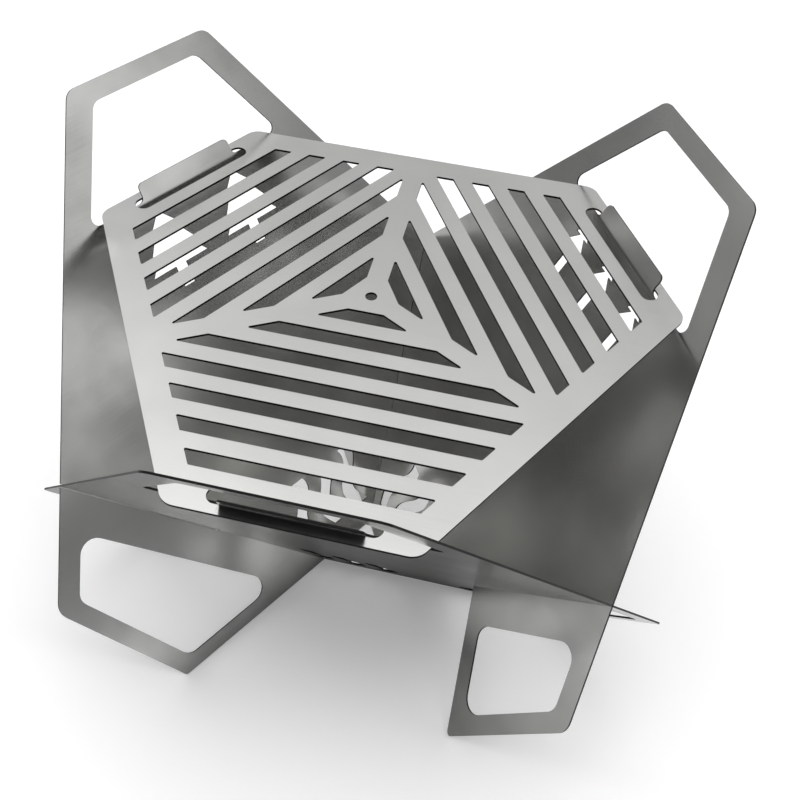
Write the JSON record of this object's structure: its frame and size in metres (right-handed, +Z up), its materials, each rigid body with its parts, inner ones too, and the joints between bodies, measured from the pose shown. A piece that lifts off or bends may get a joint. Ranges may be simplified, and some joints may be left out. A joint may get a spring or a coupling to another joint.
{
  "type": "flat-pack portable fire pit with cooking grill",
  "caption": "Flat-pack steel fire pit: leaning slotted walls interlock into an open cone on its own feet, with hand holes, cut-outs and a lift-off slotted cooking grill.",
  "frame": {"origin": "on the floor, at the middle of the three walls, where the threefold turning axis of the fire pit meets the floor", "axes": "+Z up; -Y towards the front wall, the one with the single tree; +X to the right of someone who faces the front wall"},
  "size_m": [0.4166, 0.4144, 0.3254],
  "materials": {
    "wall_steel": "brushed",
    "grill_steel": "brushed"
  },
  "bodies": {
    "walls": {"front_wall": "wall_steel", "left_wall": "wall_steel", "right_wall": "wall_steel"},
    "grill": {"cooking_grill": "grill_steel"}
  },
  "joints": [
    {"name": "grill_lift", "type": "slide", "parent": "walls", "child": "grill", "axis": [0, 0, 1], "range_m": [0, 0.1]}
  ]
}
